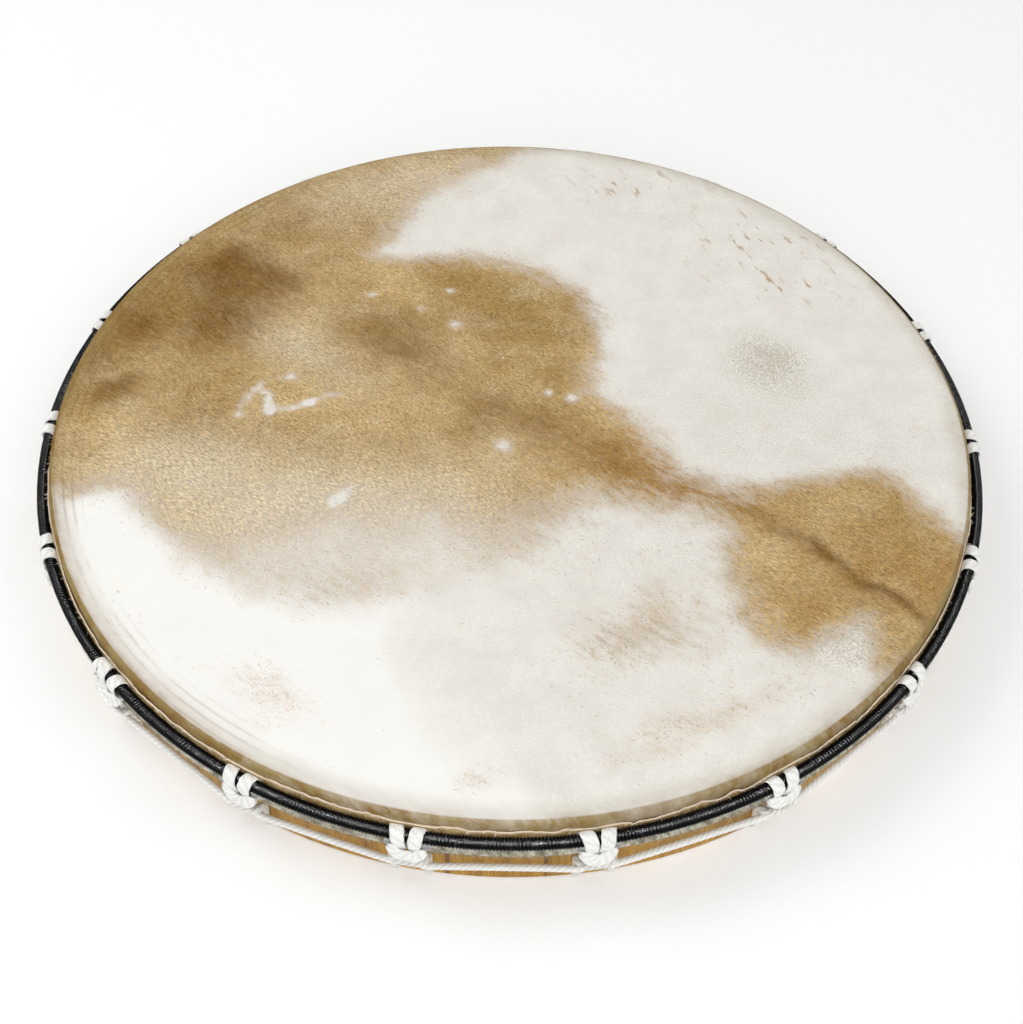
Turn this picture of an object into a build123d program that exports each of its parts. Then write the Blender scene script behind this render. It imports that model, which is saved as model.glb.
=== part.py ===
"""Rope-tuned frame drum: a bent-wood hoop with a hide head, pulled down by a whipped crown ring.

Millimetres, +Z up.  The origin is on the drum's axis, at the bottom edge that the drum stands on.
The hide is lapped round a hidden steel hoop.  A second steel ring sits above that hoop, and a chain
of rope hitches hangs from it.  One long rope hooks on each hitch, runs over the bottom edge to a
hand ring at the centre of the back, and pulls the head tight.
"""
from build123d import *
import os
from math import atan2, cos, degrees, pi, radians, sin

# Driving dimensions: the drum
HEAD_R = 300.0            # outside of the hide on the hoop: a 600 mm (24 in) drum
DEPTH = 62.0              # bottom edge to the top of the hide
SKIN = 0.8                # hide thickness
WALL = 9.0                # hoop wall thickness
EDGE_ROUND = 3.0          # outside rounding of the bearing edge, over the hide
SMALL_ROUND = 1.2         # rounding of the hoop's other edges
CLEAR = 0.05              # clearance between fitted pieces

# Driving dimensions: the rings
ROD_R = 3.0               # steel rod of all three rings
WHIPPING = 0.7            # cord whipped round a rod
CROWN_R = 305.6           # crown ring centre line
CROWN_Z = DEPTH - 12.4
FLESH_R = 303.3           # flesh hoop centre line, inside the lapped hide
FLESH_Z = DEPTH - 22.5
CUT_EDGE_Z = 53.0         # top of the lapped hide, where it was cut off behind the crown ring
FLAP_BACK = 300.1
FLAP_FRONT = 300.7
HAND_R = 42.0             # hand ring centre line
HAND_Z = 9.0

# Driving dimensions: the loop rope
ROPE_R = 2.1
HITCHES = 18
FIRST_HITCH = 0.5         # azimuth of the first hitch, degrees
DRIFT = 0.8               # hand-tied hitches wander this far from even spacing, degrees
DRIFT_WAVES = 4           # waves of that wander round the drum
DRIFT_TOP = 7             # a hitch at the top of a wave
START_HITCH = 12          # the loop rope starts and ends here, with an extra turn
EXTRA_TURN = 4.5
BAND_WIDTH = 6.8          # a rope turn pressed flat on the crown ring
BAND_SIDE = 4.8           # from the middle of a hitch to the middle of each turn
BAND_INNER = 1.05         # thickness of a turn behind the ring
BAND_OUTER = 2.0          # thickness of a turn in front of the ring
STRAP_WIDTH = 5.2         # strands in front of the flesh hoop
STRAP_BACK = 307.3
STRAP_FRONT = 309.1
STRAP_LOW = 31.0
BAR_FRONT = 311.2         # cross bar over the strands
BAR_LOW = 30.2
BAR_HEIGHT = 7.0
BAR_REACH = 9.6
BAR_HORN = 3.2            # width and drop of the cross bar's raised ends
NECK_R = 304.4            # strand below the cross bar
NECK_Z = 25.0
SPAN_R = 306.9            # ends of the straight spans
SPAN_Z = 21.5
SPAN_BENDS = [2.0, 2.1, 2.1, 2.0]

# Driving dimensions: the tension rope
LEG_SIDE = 9.8            # from the middle of a hitch to each tension leg
LEG_LEAN = 0.8            # how far a leg leans outwards at its top
LEG_R = HEAD_R - SKIN + ROPE_R + CLEAR
HOOK_R = 309.6            # where the rope crosses in front of the strands
HOOK_Z = 26.8
EDGE_Z = ROPE_R + 0.2     # rope centre in the bottom notches
TURN_R = ROD_R + WHIPPING + ROPE_R + 0.45
TENSION_BENDS = [5.4, 60.0, 4.2, 2.4, 2.2, 2.2, 2.4, 4.2, 60.0, 5.4]
NOTCH_WIDTH = 2 * ROPE_R + 0.5
NOTCH_DEPTH = 5.0
NOTCH_LEAD = 2.0
TIE_START = 14.0          # lashing that ties the rope's end to a spoke
TIE_LENGTH = 15.0

shell_r = HEAD_R - SKIN
wrapped_r = ROD_R + WHIPPING
step = 360.0 / HITCHES
leg_angle = degrees(atan2(LEG_SIDE, LEG_R))
spoke_end = shell_r - 2 * WALL

parts = {}


def hitch_azimuth(k):
    """Azimuth of a hitch in degrees: nearly even steps, with the small wander of hand-tied work."""
    wander = DRIFT * cos(radians(DRIFT_WAVES * step * (k - DRIFT_TOP)))
    return FIRST_HITCH + k * step + wander


def at(azimuth, r, side, z):
    """A point at radius r and height z, to the side of a radial plane."""
    a = radians(azimuth)
    return Vector(r * cos(a) - side * sin(a), r * sin(a) + side * cos(a), z)


def polar(azimuth, r, z):
    """A point in a radial plane."""
    return at(azimuth, r, 0, z)


def ring(centre_r, z, outer, inner=0.0):
    """A torus on the drum's axis, hollow if an inner radius is given."""
    centre = Plane.XZ * Pos(centre_r, z)
    section = centre * Circle(outer)
    if inner > 0:
        section -= centre * Circle(inner)
    return revolve(section, axis=Axis.Z)


def rope(points, bends):
    """A round rope along straight runs joined by arcs, with its volume checked."""
    path = FilletPolyline(*points, radius=bends)
    solid = sweep(Plane(origin=path @ 0, z_dir=path % 0) * Circle(ROPE_R), path=path)
    section = pi * ROPE_R**2
    assert abs(solid.volume / (section * path.length) - 1) < 0.01, "rope volume"
    return solid


# The hoop --------------------------------------------------------------------

def notch_cutter():
    """A rope notch across the bottom edge, with both of its mouths eased."""
    middle = shell_r - WALL / 2
    cutter = Pos(middle, 0, 0) * Box(2 * WALL, NOTCH_WIDTH, 2 * NOTCH_DEPTH)
    lead = Rot(0, 45, 0) * Box(NOTCH_LEAD, NOTCH_WIDTH, NOTCH_LEAD)
    return cutter + [Pos(r, 0, NOTCH_DEPTH) * lead for r in (shell_r - WALL, shell_r)]


def make_shell():
    """Bent-wood hoop with a rounded bearing edge and two rope notches below each hitch."""
    top = DEPTH - SKIN
    with BuildSketch(Plane.XZ) as section:
        with Locations((shell_r - WALL / 2, top / 2)):
            Rectangle(WALL, top)
        fillet(section.vertices().group_by(Axis.Y)[0], SMALL_ROUND)
        fillet(section.vertices().group_by(Axis.Y)[-1].sort_by(Axis.X)[0], SMALL_ROUND)
        fillet(section.vertices().group_by(Axis.Y)[-1].sort_by(Axis.X)[-1], EDGE_ROUND - SKIN)
    cutter = notch_cutter()
    angles = [hitch_azimuth(k) + side * leg_angle for k in range(HITCHES) for side in (-1, 1)]
    return revolve(section.sketch, axis=Axis.Z) - [cutter.rotate(Axis.Z, a) for a in angles]


# The head ----------------------------------------------------------------------

def make_head():
    """Hide over the hoop, lapped round the flesh hoop and up again behind the crown ring."""
    pocket = ROD_R + CLEAR
    lap_front = FLESH_R - pocket
    lap_back = lap_front - SKIN
    round_r = HEAD_R - EDGE_ROUND
    round_z = DEPTH - EDGE_ROUND
    with BuildSketch(Plane.XZ) as section:
        with BuildLine():
            Line((0, DEPTH), (round_r, DEPTH))
            RadiusArc((round_r, DEPTH), (HEAD_R, round_z), EDGE_ROUND)
            Polyline(
                (HEAD_R, round_z),
                (FLAP_BACK, CUT_EDGE_Z),
                (FLAP_FRONT, CUT_EDGE_Z),
                (lap_front + FLAP_FRONT - FLAP_BACK, FLESH_Z + pocket),
                (lap_front, FLESH_Z),
                (lap_back, FLESH_Z),
                (shell_r, round_z),
            )
            RadiusArc((shell_r, round_z), (round_r, DEPTH - SKIN), SKIN - EDGE_ROUND)
            Polyline((round_r, DEPTH - SKIN), (0, DEPTH - SKIN), (0, DEPTH))
        make_face()
        with Locations((FLESH_R, FLESH_Z)):
            Circle(pocket + SKIN)
            Circle(pocket, mode=Mode.SUBTRACT)
    return revolve(section.sketch, axis=Axis.Z)


# The loop rope: hitches and the spans between them ------------------------------

def turn(side, width):
    """One flattened turn round the crown ring, thicker in front than behind."""
    shift = (BAND_OUTER - BAND_INNER) / 2
    bore = wrapped_r + CLEAR
    section = Plane.XZ * Pos(CROWN_R + shift, CROWN_Z + shift / 2) * Circle(bore + BAND_INNER + shift)
    section -= Plane.XZ * Pos(CROWN_R, CROWN_Z) * Circle(bore)
    swept = revolve(section, axis=Axis.Z, revolution_arc=degrees(width / CROWN_R))
    return swept.rotate(Axis.Z, degrees((side - width / 2) / CROWN_R))


def strap(side, width):
    """The strand below a turn, pressed flat in front of the flesh hoop."""
    height = CROWN_Z - wrapped_r + 0.2 - STRAP_LOW
    centre = Pos((STRAP_BACK + STRAP_FRONT) / 2, side, STRAP_LOW + height / 2)
    body = centre * Box(STRAP_FRONT - STRAP_BACK, width, height)
    return fillet(body.edges().filter_by(Axis.Z), 0.8)


def cross_bar(reach):
    """The bight that crosses in front of both strands, curved like a smile."""
    horn = CROWN_Z - BAR_HORN
    lower = ThreePointArc((-reach, horn), (0, BAR_LOW), (reach, horn))
    inside = reach - BAR_HORN
    upper = ThreePointArc((-inside, horn), (0, BAR_LOW + BAR_HEIGHT), (inside, horn))
    ends = [Line((-reach, horn), (-inside, horn)), Line((reach, horn), (inside, horn))]
    face = make_face(Plane.YZ * Curve([lower, upper, *ends]))
    return Pos(STRAP_FRONT - 0.1, 0, 0) * extrude(face, BAR_FRONT - STRAP_FRONT + 0.1)


def make_hitch(extra):
    """A cow hitch on the crown ring, its first turn wider by what an extra turn adds."""
    first = -BAND_SIDE - extra / 2
    solid = turn(BAND_SIDE, BAND_WIDTH) + turn(first, BAND_WIDTH + extra)
    solid += strap(BAND_SIDE, STRAP_WIDTH) + strap(first, STRAP_WIDTH + extra)
    return solid + cross_bar(BAR_REACH + extra / 2)


def make_span(azimuth, following):
    """Down out of one hitch, straight to the next one, and up into it."""
    down = [(306.5, STRAP_LOW - CLEAR), (NECK_R, NECK_Z), (SPAN_R, SPAN_Z)]
    leaving = [at(azimuth, r, BAND_SIDE, z) for r, z in down]
    arriving = [at(following, r, -BAND_SIDE, z) for r, z in reversed(down)]
    return rope(leaving + arriving, SPAN_BENDS)


# The tension rope -----------------------------------------------------------------

def tension_points(azimuth, before, after):
    """From the hand ring over the bottom edge, hooked on a hitch, and back to the hand ring."""
    inner_r = HAND_R - TURN_R
    hook = [(LEG_R, LEG_SIDE, EDGE_Z), (LEG_R, LEG_SIDE + LEG_LEAN, HOOK_Z), (HOOK_R, LEG_SIDE - 0.6, HOOK_Z)]
    return [
        polar(before, inner_r, HAND_Z),
        polar(before, inner_r, HAND_Z + TURN_R),
        polar(azimuth - leg_angle, spoke_end, EDGE_Z),
        *[at(azimuth, r, -side, z) for r, side, z in hook],
        *[at(azimuth, r, side, z) for r, side, z in reversed(hook)],
        polar(azimuth + leg_angle, spoke_end, EDGE_Z),
        polar(after, inner_r, HAND_Z - TURN_R),
        polar(after, inner_r, HAND_Z),
    ]


def make_lashing(points):
    """Turns of the rope's own end, tied round a spoke next to the hand ring."""
    along = (points[2] - points[1]).normalized()
    base = Plane(origin=points[1] + along * (TIE_START + TIE_LENGTH / 2), z_dir=along)
    return base * (Cylinder(3 * ROPE_R, TIE_LENGTH) - Cylinder(ROPE_R + CLEAR, 2 * TIE_LENGTH))


parts["shell"] = make_shell()
parts["head_skin"] = make_head()
parts["flesh_hoop"] = ring(FLESH_R, FLESH_Z, ROD_R)
parts["crown_ring"] = ring(CROWN_R, CROWN_Z, ROD_R)
parts["crown_ring_wrap"] = ring(CROWN_R, CROWN_Z, wrapped_r, ROD_R)
parts["hand_ring"] = ring(HAND_R, HAND_Z, ROD_R)
parts["hand_ring_wrap"] = ring(HAND_R, HAND_Z, wrapped_r, ROD_R)

plain_hitch = make_hitch(0.0)
start_hitch = make_hitch(EXTRA_TURN)
spans = []
for k in range(HITCHES):
    number = k + 1
    azimuth = hitch_azimuth(k)
    before = (hitch_azimuth(k - 1) + azimuth) / 2
    after = (azimuth + hitch_azimuth(k + 1)) / 2
    hitch = start_hitch if number == START_HITCH else plain_hitch
    route = tension_points(azimuth, before, after)
    parts[f"hitch_{number:02d}"] = hitch.rotate(Axis.Z, azimuth)
    parts[f"tension_rope_{number:02d}"] = rope(route, TENSION_BENDS)
    spans.append(make_span(azimuth, hitch_azimuth(k + 1)))
    if number == START_HITCH:
        parts["rope_lashing"] = make_lashing(route)
parts["loop_rope_spans"] = Compound(children=spans)

os.makedirs("parts", exist_ok=True)
for name, solid in parts.items():
    solid.label = name
    export_step(solid, f"parts/{name}.step")
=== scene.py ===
"""Rope-tuned frame drum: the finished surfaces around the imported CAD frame.

Shapes are worked out in millimetres, in the CAD frame (+Z up, origin on the drum's axis at the
bottom edge), and mesh_piece turns them into metres.
"""
from math import cos, pi, radians, sin

import bpy
import numpy as np
from mathutils import Matrix, Vector


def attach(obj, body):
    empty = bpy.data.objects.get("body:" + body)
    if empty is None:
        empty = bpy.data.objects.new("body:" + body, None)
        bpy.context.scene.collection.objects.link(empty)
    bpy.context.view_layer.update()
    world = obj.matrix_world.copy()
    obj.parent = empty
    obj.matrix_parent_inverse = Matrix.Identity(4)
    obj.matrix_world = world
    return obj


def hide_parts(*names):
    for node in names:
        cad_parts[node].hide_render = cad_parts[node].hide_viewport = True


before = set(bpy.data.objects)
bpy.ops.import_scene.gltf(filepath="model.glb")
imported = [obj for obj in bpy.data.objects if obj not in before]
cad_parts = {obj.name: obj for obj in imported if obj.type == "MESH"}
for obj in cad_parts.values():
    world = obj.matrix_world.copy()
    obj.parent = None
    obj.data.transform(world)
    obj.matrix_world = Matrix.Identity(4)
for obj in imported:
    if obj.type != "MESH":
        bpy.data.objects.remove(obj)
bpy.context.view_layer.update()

MM = 0.001
rng = np.random.default_rng(24)

# Sizes that part.py sets, in millimetres
HEAD_R = 300.0
DEPTH = 62.0
SKIN = 0.8
EDGE_ROUND = 3.0
ROD_R = 3.0
WHIPPING = 0.7
CROWN_R, CROWN_Z = 305.6, 49.6
FLESH_R, FLESH_Z = 303.3, 39.5
HAND_R, HAND_Z = 42.0, 9.0
ROPE_R = 2.1
HITCHES = 18
FIRST_HITCH = 0.5
DRIFT, DRIFT_WAVES, DRIFT_TOP = 0.8, 4, 7
START_HITCH = 12
EXTRA_TURN = 4.5
SHELL_R = HEAD_R - SKIN
WALL = 9.0
LEG_SIDE, LEG_LEAN = 9.8, 0.8
LEG_R = SHELL_R + ROPE_R + 0.05
HOOK_R, HOOK_Z = 309.6, 26.8
EDGE_Z = 2.3
WRAPPED_R = ROD_R + WHIPPING
TURN_R = WRAPPED_R + ROPE_R + 0.45
SPOKE_END = SHELL_R - 2 * WALL
LEG_ANGLE = np.degrees(np.arctan2(LEG_SIDE, LEG_R))
TIE_START, TIE_LENGTH = 14.0, 15.0

# Look of the hide, in millimetres
CELL = 4.3                # mesh cell on the flat of the head
CUT_EDGE = 54.3           # mean height of the hide's cut edge
NOTCHES = 42              # small cuts and frays in that edge
HAIRS = 330000            # hairs tried over the whole head; only the tan part keeps them
FLAP_HAIRS, LAP_HAIRS, THREADS = 9000, 16000, 700      # tried round the rim, clear of the hitches
RIM_POINTS = 768          # points in a ring at the head's edge
CUT_POINTS = 1536         # points in a ring of the cut flap
FLAP_R = HEAD_R + 0.45
FLAP_FOOT = FLESH_Z + 2.0
LAP_GAP = 0.05            # between the flesh hoop and the hide round it
WHIP_PITCH = 2.0          # one turn of the whipping cord

# The hide's markings, in centimetres across the head: +x right, +y away from the hand.
# The tan saddle lies between these two edges, and the smooth bare flank below the third.
UPPER_EDGE = [(3, 31), (-1, 27), (-5, 24.5), (-8, 21), (-9.5, 17), (-4, 17), (1, 16), (5, 12.5), (6, 8),
              (5.5, 3), (8, 0), (11, -4), (16, -5.5), (20, -4), (25, -4), (28, -9), (31, -13)]
LOWER_EDGE = [(-31, -7), (-25, -6), (-22.5, -9.5), (-17, -13), (-8, -14), (-4, -10.5), (0, -10.5),
              (4, -7), (8, -6.5), (13, -8), (14, -13), (16.5, -18.5), (19, -17), (21, -16), (22, -20),
              (26, -18), (31, -17)]
BARE_EDGE = [(-31, -7), (-25, -6), (-22, -10.5), (-13, -14.5), (-5.5, -15), (-5, -20), (5, -31)]
SCRATCHES = [[(-18, 0.5), (-17, 3), (-15, 4)], [(-16, 0.5), (-14, 1.5), (-11.5, 2.5)],
             [(-16.5, 2.5), (-16, 1)], [(-11, -7), (-10, -6)]]
SPINE = [(-21, 16), (-12, 10), (-4, 4), (3, -1), (9, -4), (14, -6), (18, -9.5), (22, -13), (26, -16.5)]
# Pale nicks in the coat (x, y, size), and darker and more golden clouds in it (x, y, size, depth)
NICKS = [(-4, 9.5, 0.55), (-6.5, 11, 0.35), (-10, 12.5, 0.4), (-4.5, 13, 0.4), (-0.5, -2, 0.8),
         (2.5, 3, 0.4), (4, 2.5, 0.55)]
DARK_CLOUDS = [(-26, 9, 6, 0.75), (-20, 7.5, 6, 0.5), (-23, 4, 4, 0.25), (-18.5, 20, 6, 0.5),
               (-26.5, 3, 2, 0.5), (-16.5, 14.5, 5, 0.45), (-10, 26, 2.5, 0.35), (-8, 8, 5, 0.22),
               (-8.5, 3, 4, 0.18), (-2, -1, 6.5, 0.22), (12, -6, 3.5, 0.35), (-1, 9, 6, 0.15),
               (-22, 17, 4, 0.3)]
GOLD_CLOUDS = [(-20, 8, 4, 0.35), (-26.5, 9, 3.5, 0.5), (-22, 17.5, 2.5, 0.4), (1.5, 0, 2.5, 0.35),
               (2, -4, 2.5, 0.3), (8, -3.5, 5, 0.45), (17, -15, 3, 0.45), (24, -9, 5, 0.28),
               (27, -13, 3, 0.5), (-7, 24, 5, 0.2)]
# Soft ovals: strength, then x, y, half length, half width and turn as spot takes them
SOFT_EDGES = [(2.6, -8, -11, 13, 6, 8), (1.6, 5, -7, 9, 5), (0.8, -2, 24, 8, 5)]
THIN_COAT = [(0.55, -7, -10, 9, 4), (0.25, -20, -6, 7, 2), (0.30, -14, -12, 7, 3)]
FAINT_TAN = [(0.30, 8, -17, 5, 3, 20), (0.30, 11, -23.5, 8, 1.5, 22), (0.26, -1.5, -27, 1.5, 1),
             (0.30, -14, -22, 4, 2, -20)]
PALE_COAT = [(0.6, -8, 25, 9, 4, 17), (0.95, -11, -9, 13, 5), (0.6, -14.5, 6.5, 5, 2.2, -35),
             (0.5, -22, -4, 6, 3)]
COOL_GREY = [(1.0, 17.5, 6, 2.1), (0.15, 11, -13, 12, 7, -20), (0.20, 18, 0, 10, 6, -20),
             (0.7, 21, -17.5, 4, 2)]
FLECKS = [(1.0, 8.5, 25.5, 4, 2), (1.0, 18, 19, 5, 4), (1.0, 20, 14, 4, 1.6)]


# Frame helpers --------

def hitch_azimuth(k):
    """Azimuth of a hitch in degrees, as in part.py."""
    spacing = 360.0 / HITCHES
    wander = DRIFT * cos(radians(DRIFT_WAVES * spacing * (k - DRIFT_TOP)))
    return FIRST_HITCH + k * spacing + wander


def turned(points, azimuth):
    """Points of a radial frame (r, side, z), turned to their azimuth."""
    a = radians(azimuth)
    p = np.atleast_2d(np.asarray(points, float))
    return np.stack([p[:, 0] * cos(a) - p[:, 1] * sin(a), p[:, 0] * sin(a) + p[:, 1] * cos(a), p[:, 2]], 1)


def unit(vectors):
    """Vectors shortened or lengthened to 1."""
    return vectors / np.linalg.norm(vectors, axis=-1, keepdims=True)


def polar(azimuth, r, z):
    """One point in a radial plane."""
    return turned([(r, 0, z)], azimuth)[0]


def placed(name, data):
    """An object of this data, put in the scene."""
    made = bpy.data.objects.new(name, data)
    bpy.context.scene.collection.objects.link(made)
    return made


def mesh_piece(name, points, faces):
    """A piece that rides on the drum's one body, from points in millimetres."""
    mesh = bpy.data.meshes.new(name)
    mesh.from_pydata((np.asarray(points) * MM).tolist(), [], faces)
    mesh.update()
    mesh.polygons.foreach_set("use_smooth", [True] * len(mesh.polygons))
    piece = placed(name, mesh)
    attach(piece, "root")
    return piece


def paint(piece, name, values):
    """Stores up to four values a point, for the material to read."""
    filled = np.ones((len(piece.data.vertices), 4), np.float32)
    values = np.asarray(values).T
    filled[:, :values.shape[1]] = values
    layer = piece.data.attributes.new(name, "FLOAT_COLOR", "POINT")
    layer.data.foreach_set("color", filled.ravel())


# Noise and soft shapes --------

LATTICE = np.random.default_rng(7).random((256, 256))


def value_noise(x, y):
    """Smooth noise from 0 to 1 with a period of 256."""
    xi, yi = np.floor(x).astype(int), np.floor(y).astype(int)
    u, v = x - xi, y - yi
    u, v = u * u * (3 - 2 * u), v * v * (3 - 2 * v)
    a, b = LATTICE[xi % 256, yi % 256], LATTICE[(xi + 1) % 256, yi % 256]
    c, d = LATTICE[xi % 256, (yi + 1) % 256], LATTICE[(xi + 1) % 256, (yi + 1) % 256]
    return (a * (1 - u) + b * u) * (1 - v) + (c * (1 - u) + d * u) * v


def fractal(x, y, size, octaves=4, shift=0.0):
    """Layered noise from about -1 to 1, with blots about as large as size."""
    total, weight = 0.0, 0.0
    for octave in range(octaves):
        grain = 2.0 ** octave / size
        layer = value_noise(x * grain + 31.7 * octave + shift, y * grain + 17.3 * octave)
        total = total + layer / 2 ** octave
        weight += 1 / 2 ** octave
    return 2 * total / weight - 1


def ramp(value, low, high):
    """Smooth step from 0 to 1."""
    t = np.clip((value - low) / (high - low), 0, 1)
    return t * t * (3 - 2 * t)


def curve_through(points, steps=8, closed=False):
    """A smooth curve through points (Catmull-Rom)."""
    p = np.asarray(points, float)
    if closed:
        p = np.vstack([p[-1], p, p[0], p[1]])
    else:
        p = np.vstack([2 * p[0] - p[1], p, 2 * p[-1] - p[-2]])
    t = np.linspace(0, 1, steps, endpoint=False)[:, None]
    spans = []
    for a, b, c, d in zip(p, p[1:], p[2:], p[3:]):
        spans.append(0.5 * (2 * b + (c - a) * t + (2 * a - 5 * b + 4 * c - d) * t ** 2
                            + (3 * b - a - 3 * c + d) * t ** 3))
    return np.vstack(spans if closed else spans + [p[-2:-1]])


def line_distance(x, y, line):
    """Distance from each point to a line, and how far along the line that is, from 0 to 1."""
    best = np.full(len(x), 1e9)
    along = np.zeros(len(x))
    for i, (a, b) in enumerate(zip(line, line[1:])):
        run = b - a
        t = np.clip(((x - a[0]) * run[0] + (y - a[1]) * run[1]) / (run @ run), 0, 1)
        distance = np.hypot(x - a[0] - t * run[0], y - a[1] - t * run[1])
        nearer = distance < best
        best[nearer] = distance[nearer]
        along[nearer] = ((i + t) / (len(line) - 1))[nearer]
    return best, along


def inside(x, y, edge, beyond):
    """Signed distance in millimetres: positive inside the patch between edge and points beyond the rim."""
    outline = np.vstack([curve_through(edge), np.asarray(beyond, float)]) * 10
    outline = np.vstack([outline, outline[:1]])
    crossings = np.zeros(len(x), bool)
    for a, b in zip(outline, outline[1:]):
        spans = (a[1] > y) != (b[1] > y)
        rise = np.where(b[1] == a[1], 1e-9, b[1] - a[1])
        crossings ^= spans & (x < (b[0] - a[0]) * (y - a[1]) / rise + a[0])
    distance, _ = line_distance(x, y, outline)
    return np.where(crossings, distance, -distance)


def spot(x, y, cx, cy, long, wide=None, turn=0.0):
    """A soft oval: 1 in its middle, 0.37 at its half sizes.  All in centimetres, turn in degrees."""
    wide = wide or long
    a = radians(turn)
    dx, dy = x / 10 - cx, y / 10 - cy
    u, v = dx * cos(a) + dy * sin(a), dy * cos(a) - dx * sin(a)
    return np.exp(-(u / long) ** 2 - (v / wide) ** 2)


def ovals(x, y, table):
    """The sum of a table's soft ovals."""
    return sum(strength * spot(x, y, *oval) for strength, *oval in table)


# Materials --------

def colour(r, g, b):
    """Linear colour from display values of 0 to 255."""
    c = np.array([r, g, b]) / 255
    return (*np.where(c <= 0.04045, c / 12.92, ((c + 0.055) / 1.055) ** 2.4), 1.0)


class Finish:
    """Short calls for building one material."""

    def __init__(self, name):
        self.material = bpy.data.materials.new(name)
        self.material.use_nodes = True
        self.tree = self.material.node_tree
        self.shader = self.tree.nodes["Principled BSDF"]
        self.place = self.add("TexCoord").outputs["Object"]

    def add(self, kind, inputs=None, **settings):
        """A shader node, its inputs given as values or as other nodes' outputs."""
        node = self.tree.nodes.new("ShaderNode" + kind)
        for key, value in settings.items():
            setattr(node, key, value)
        for key, value in (inputs or {}).items():
            self.feed(node.inputs[key], value)
        return node

    def feed(self, socket, value):
        if isinstance(value, bpy.types.NodeSocket):
            self.tree.links.new(value, socket)
        else:
            socket.default_value = value

    def math(self, operation, a, b=0.0):
        return self.add("Math", {0: a, 1: b}, operation=operation).outputs[0]

    def times(self, a, b):
        return self.math("MULTIPLY", a, b)

    def plus(self, a, b):
        return self.math("ADD", a, b)

    def hypot(self, a, b):
        return self.math("SQRT", self.plus(self.times(a, a), self.times(b, b)))

    def ramp(self, value, low, high, to_low=0.0, to_high=1.0):
        inputs = {"Value": value, "From Min": low, "From Max": high, "To Min": to_low, "To Max": to_high}
        return self.add("MapRange", inputs, interpolation_type="SMOOTHSTEP").outputs["Result"]

    def mix(self, amount, a, b, blend="MIX"):
        """From colour a to colour b, each a socket or three display values of 0 to 255."""
        node = self.add("Mix", data_type="RGBA", blend_type=blend)
        for index, value in ((0, amount), (6, a), (7, b)):
            self.feed(node.inputs[index], colour(*value) if isinstance(value, tuple) else value)
        return node.outputs[2]

    def shaded(self, body, shade):
        """A colour made darker or lighter by a factor."""
        grey = self.add("CombineColor", {0: shade, 1: shade, 2: shade}).outputs[0]
        return self.mix(1.0, body, grey, "MULTIPLY")

    def stretched(self, turn, scale, place=None):
        """Coordinates turned about Z, in degrees, and scaled."""
        inputs = {"Vector": place or self.place, "Rotation": (0, 0, radians(turn))}
        spun = self.add("Mapping", inputs).outputs[0]
        return self.add("Mapping", {"Vector": spun, "Scale": scale}).outputs[0]

    def noise(self, scale, place=None, detail=3.0, roughness=0.55, distortion=0.0):
        inputs = {"Vector": place or self.place, "Scale": scale, "Detail": detail,
                  "Roughness": roughness, "Distortion": distortion}
        return self.add("TexNoise", inputs).outputs[0]

    def read(self, name):
        """The values that paint stored, as (first, second, third, fourth)."""
        node = self.add("Attribute", attribute_name=name)
        split = self.add("SeparateColor", {0: node.outputs["Color"]})
        return (*split.outputs, node.outputs["Alpha"])

    def bump(self, height, strength, distance, normal=None):
        inputs = {"Height": height, "Strength": strength, "Distance": distance}
        if normal:
            inputs["Normal"] = normal
        return self.add("Bump", inputs).outputs[0]

    def done(self, **inputs):
        for key, value in inputs.items():
            self.feed(self.shader.inputs[key.replace("_", " ")], value)
        return self.material


def coat_colour(f, dark, gold, pale, ragged, clouds, blots):
    """The colour of the tan coat, from what coat_values stored."""
    deep = f.ramp(f.plus(dark, f.times(ragged, 0.8)), 0.0, 1.15)
    glow = f.ramp(f.plus(gold, f.times(ragged, 0.7)), 0.05, 1.15)
    brown = f.mix(f.ramp(clouds, 0.30, 0.70), (213, 185, 134), (174, 141, 84))
    brown = f.mix(f.ramp(blots, 0.45, 0.75, 0.0, 0.45), brown, (218, 200, 162))
    brown = f.mix(f.times(pale, 0.9), brown, (229, 216, 189))
    brown = f.mix(glow, brown, (174, 126, 56))
    return f.mix(deep, brown, (124, 87, 30))


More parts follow.
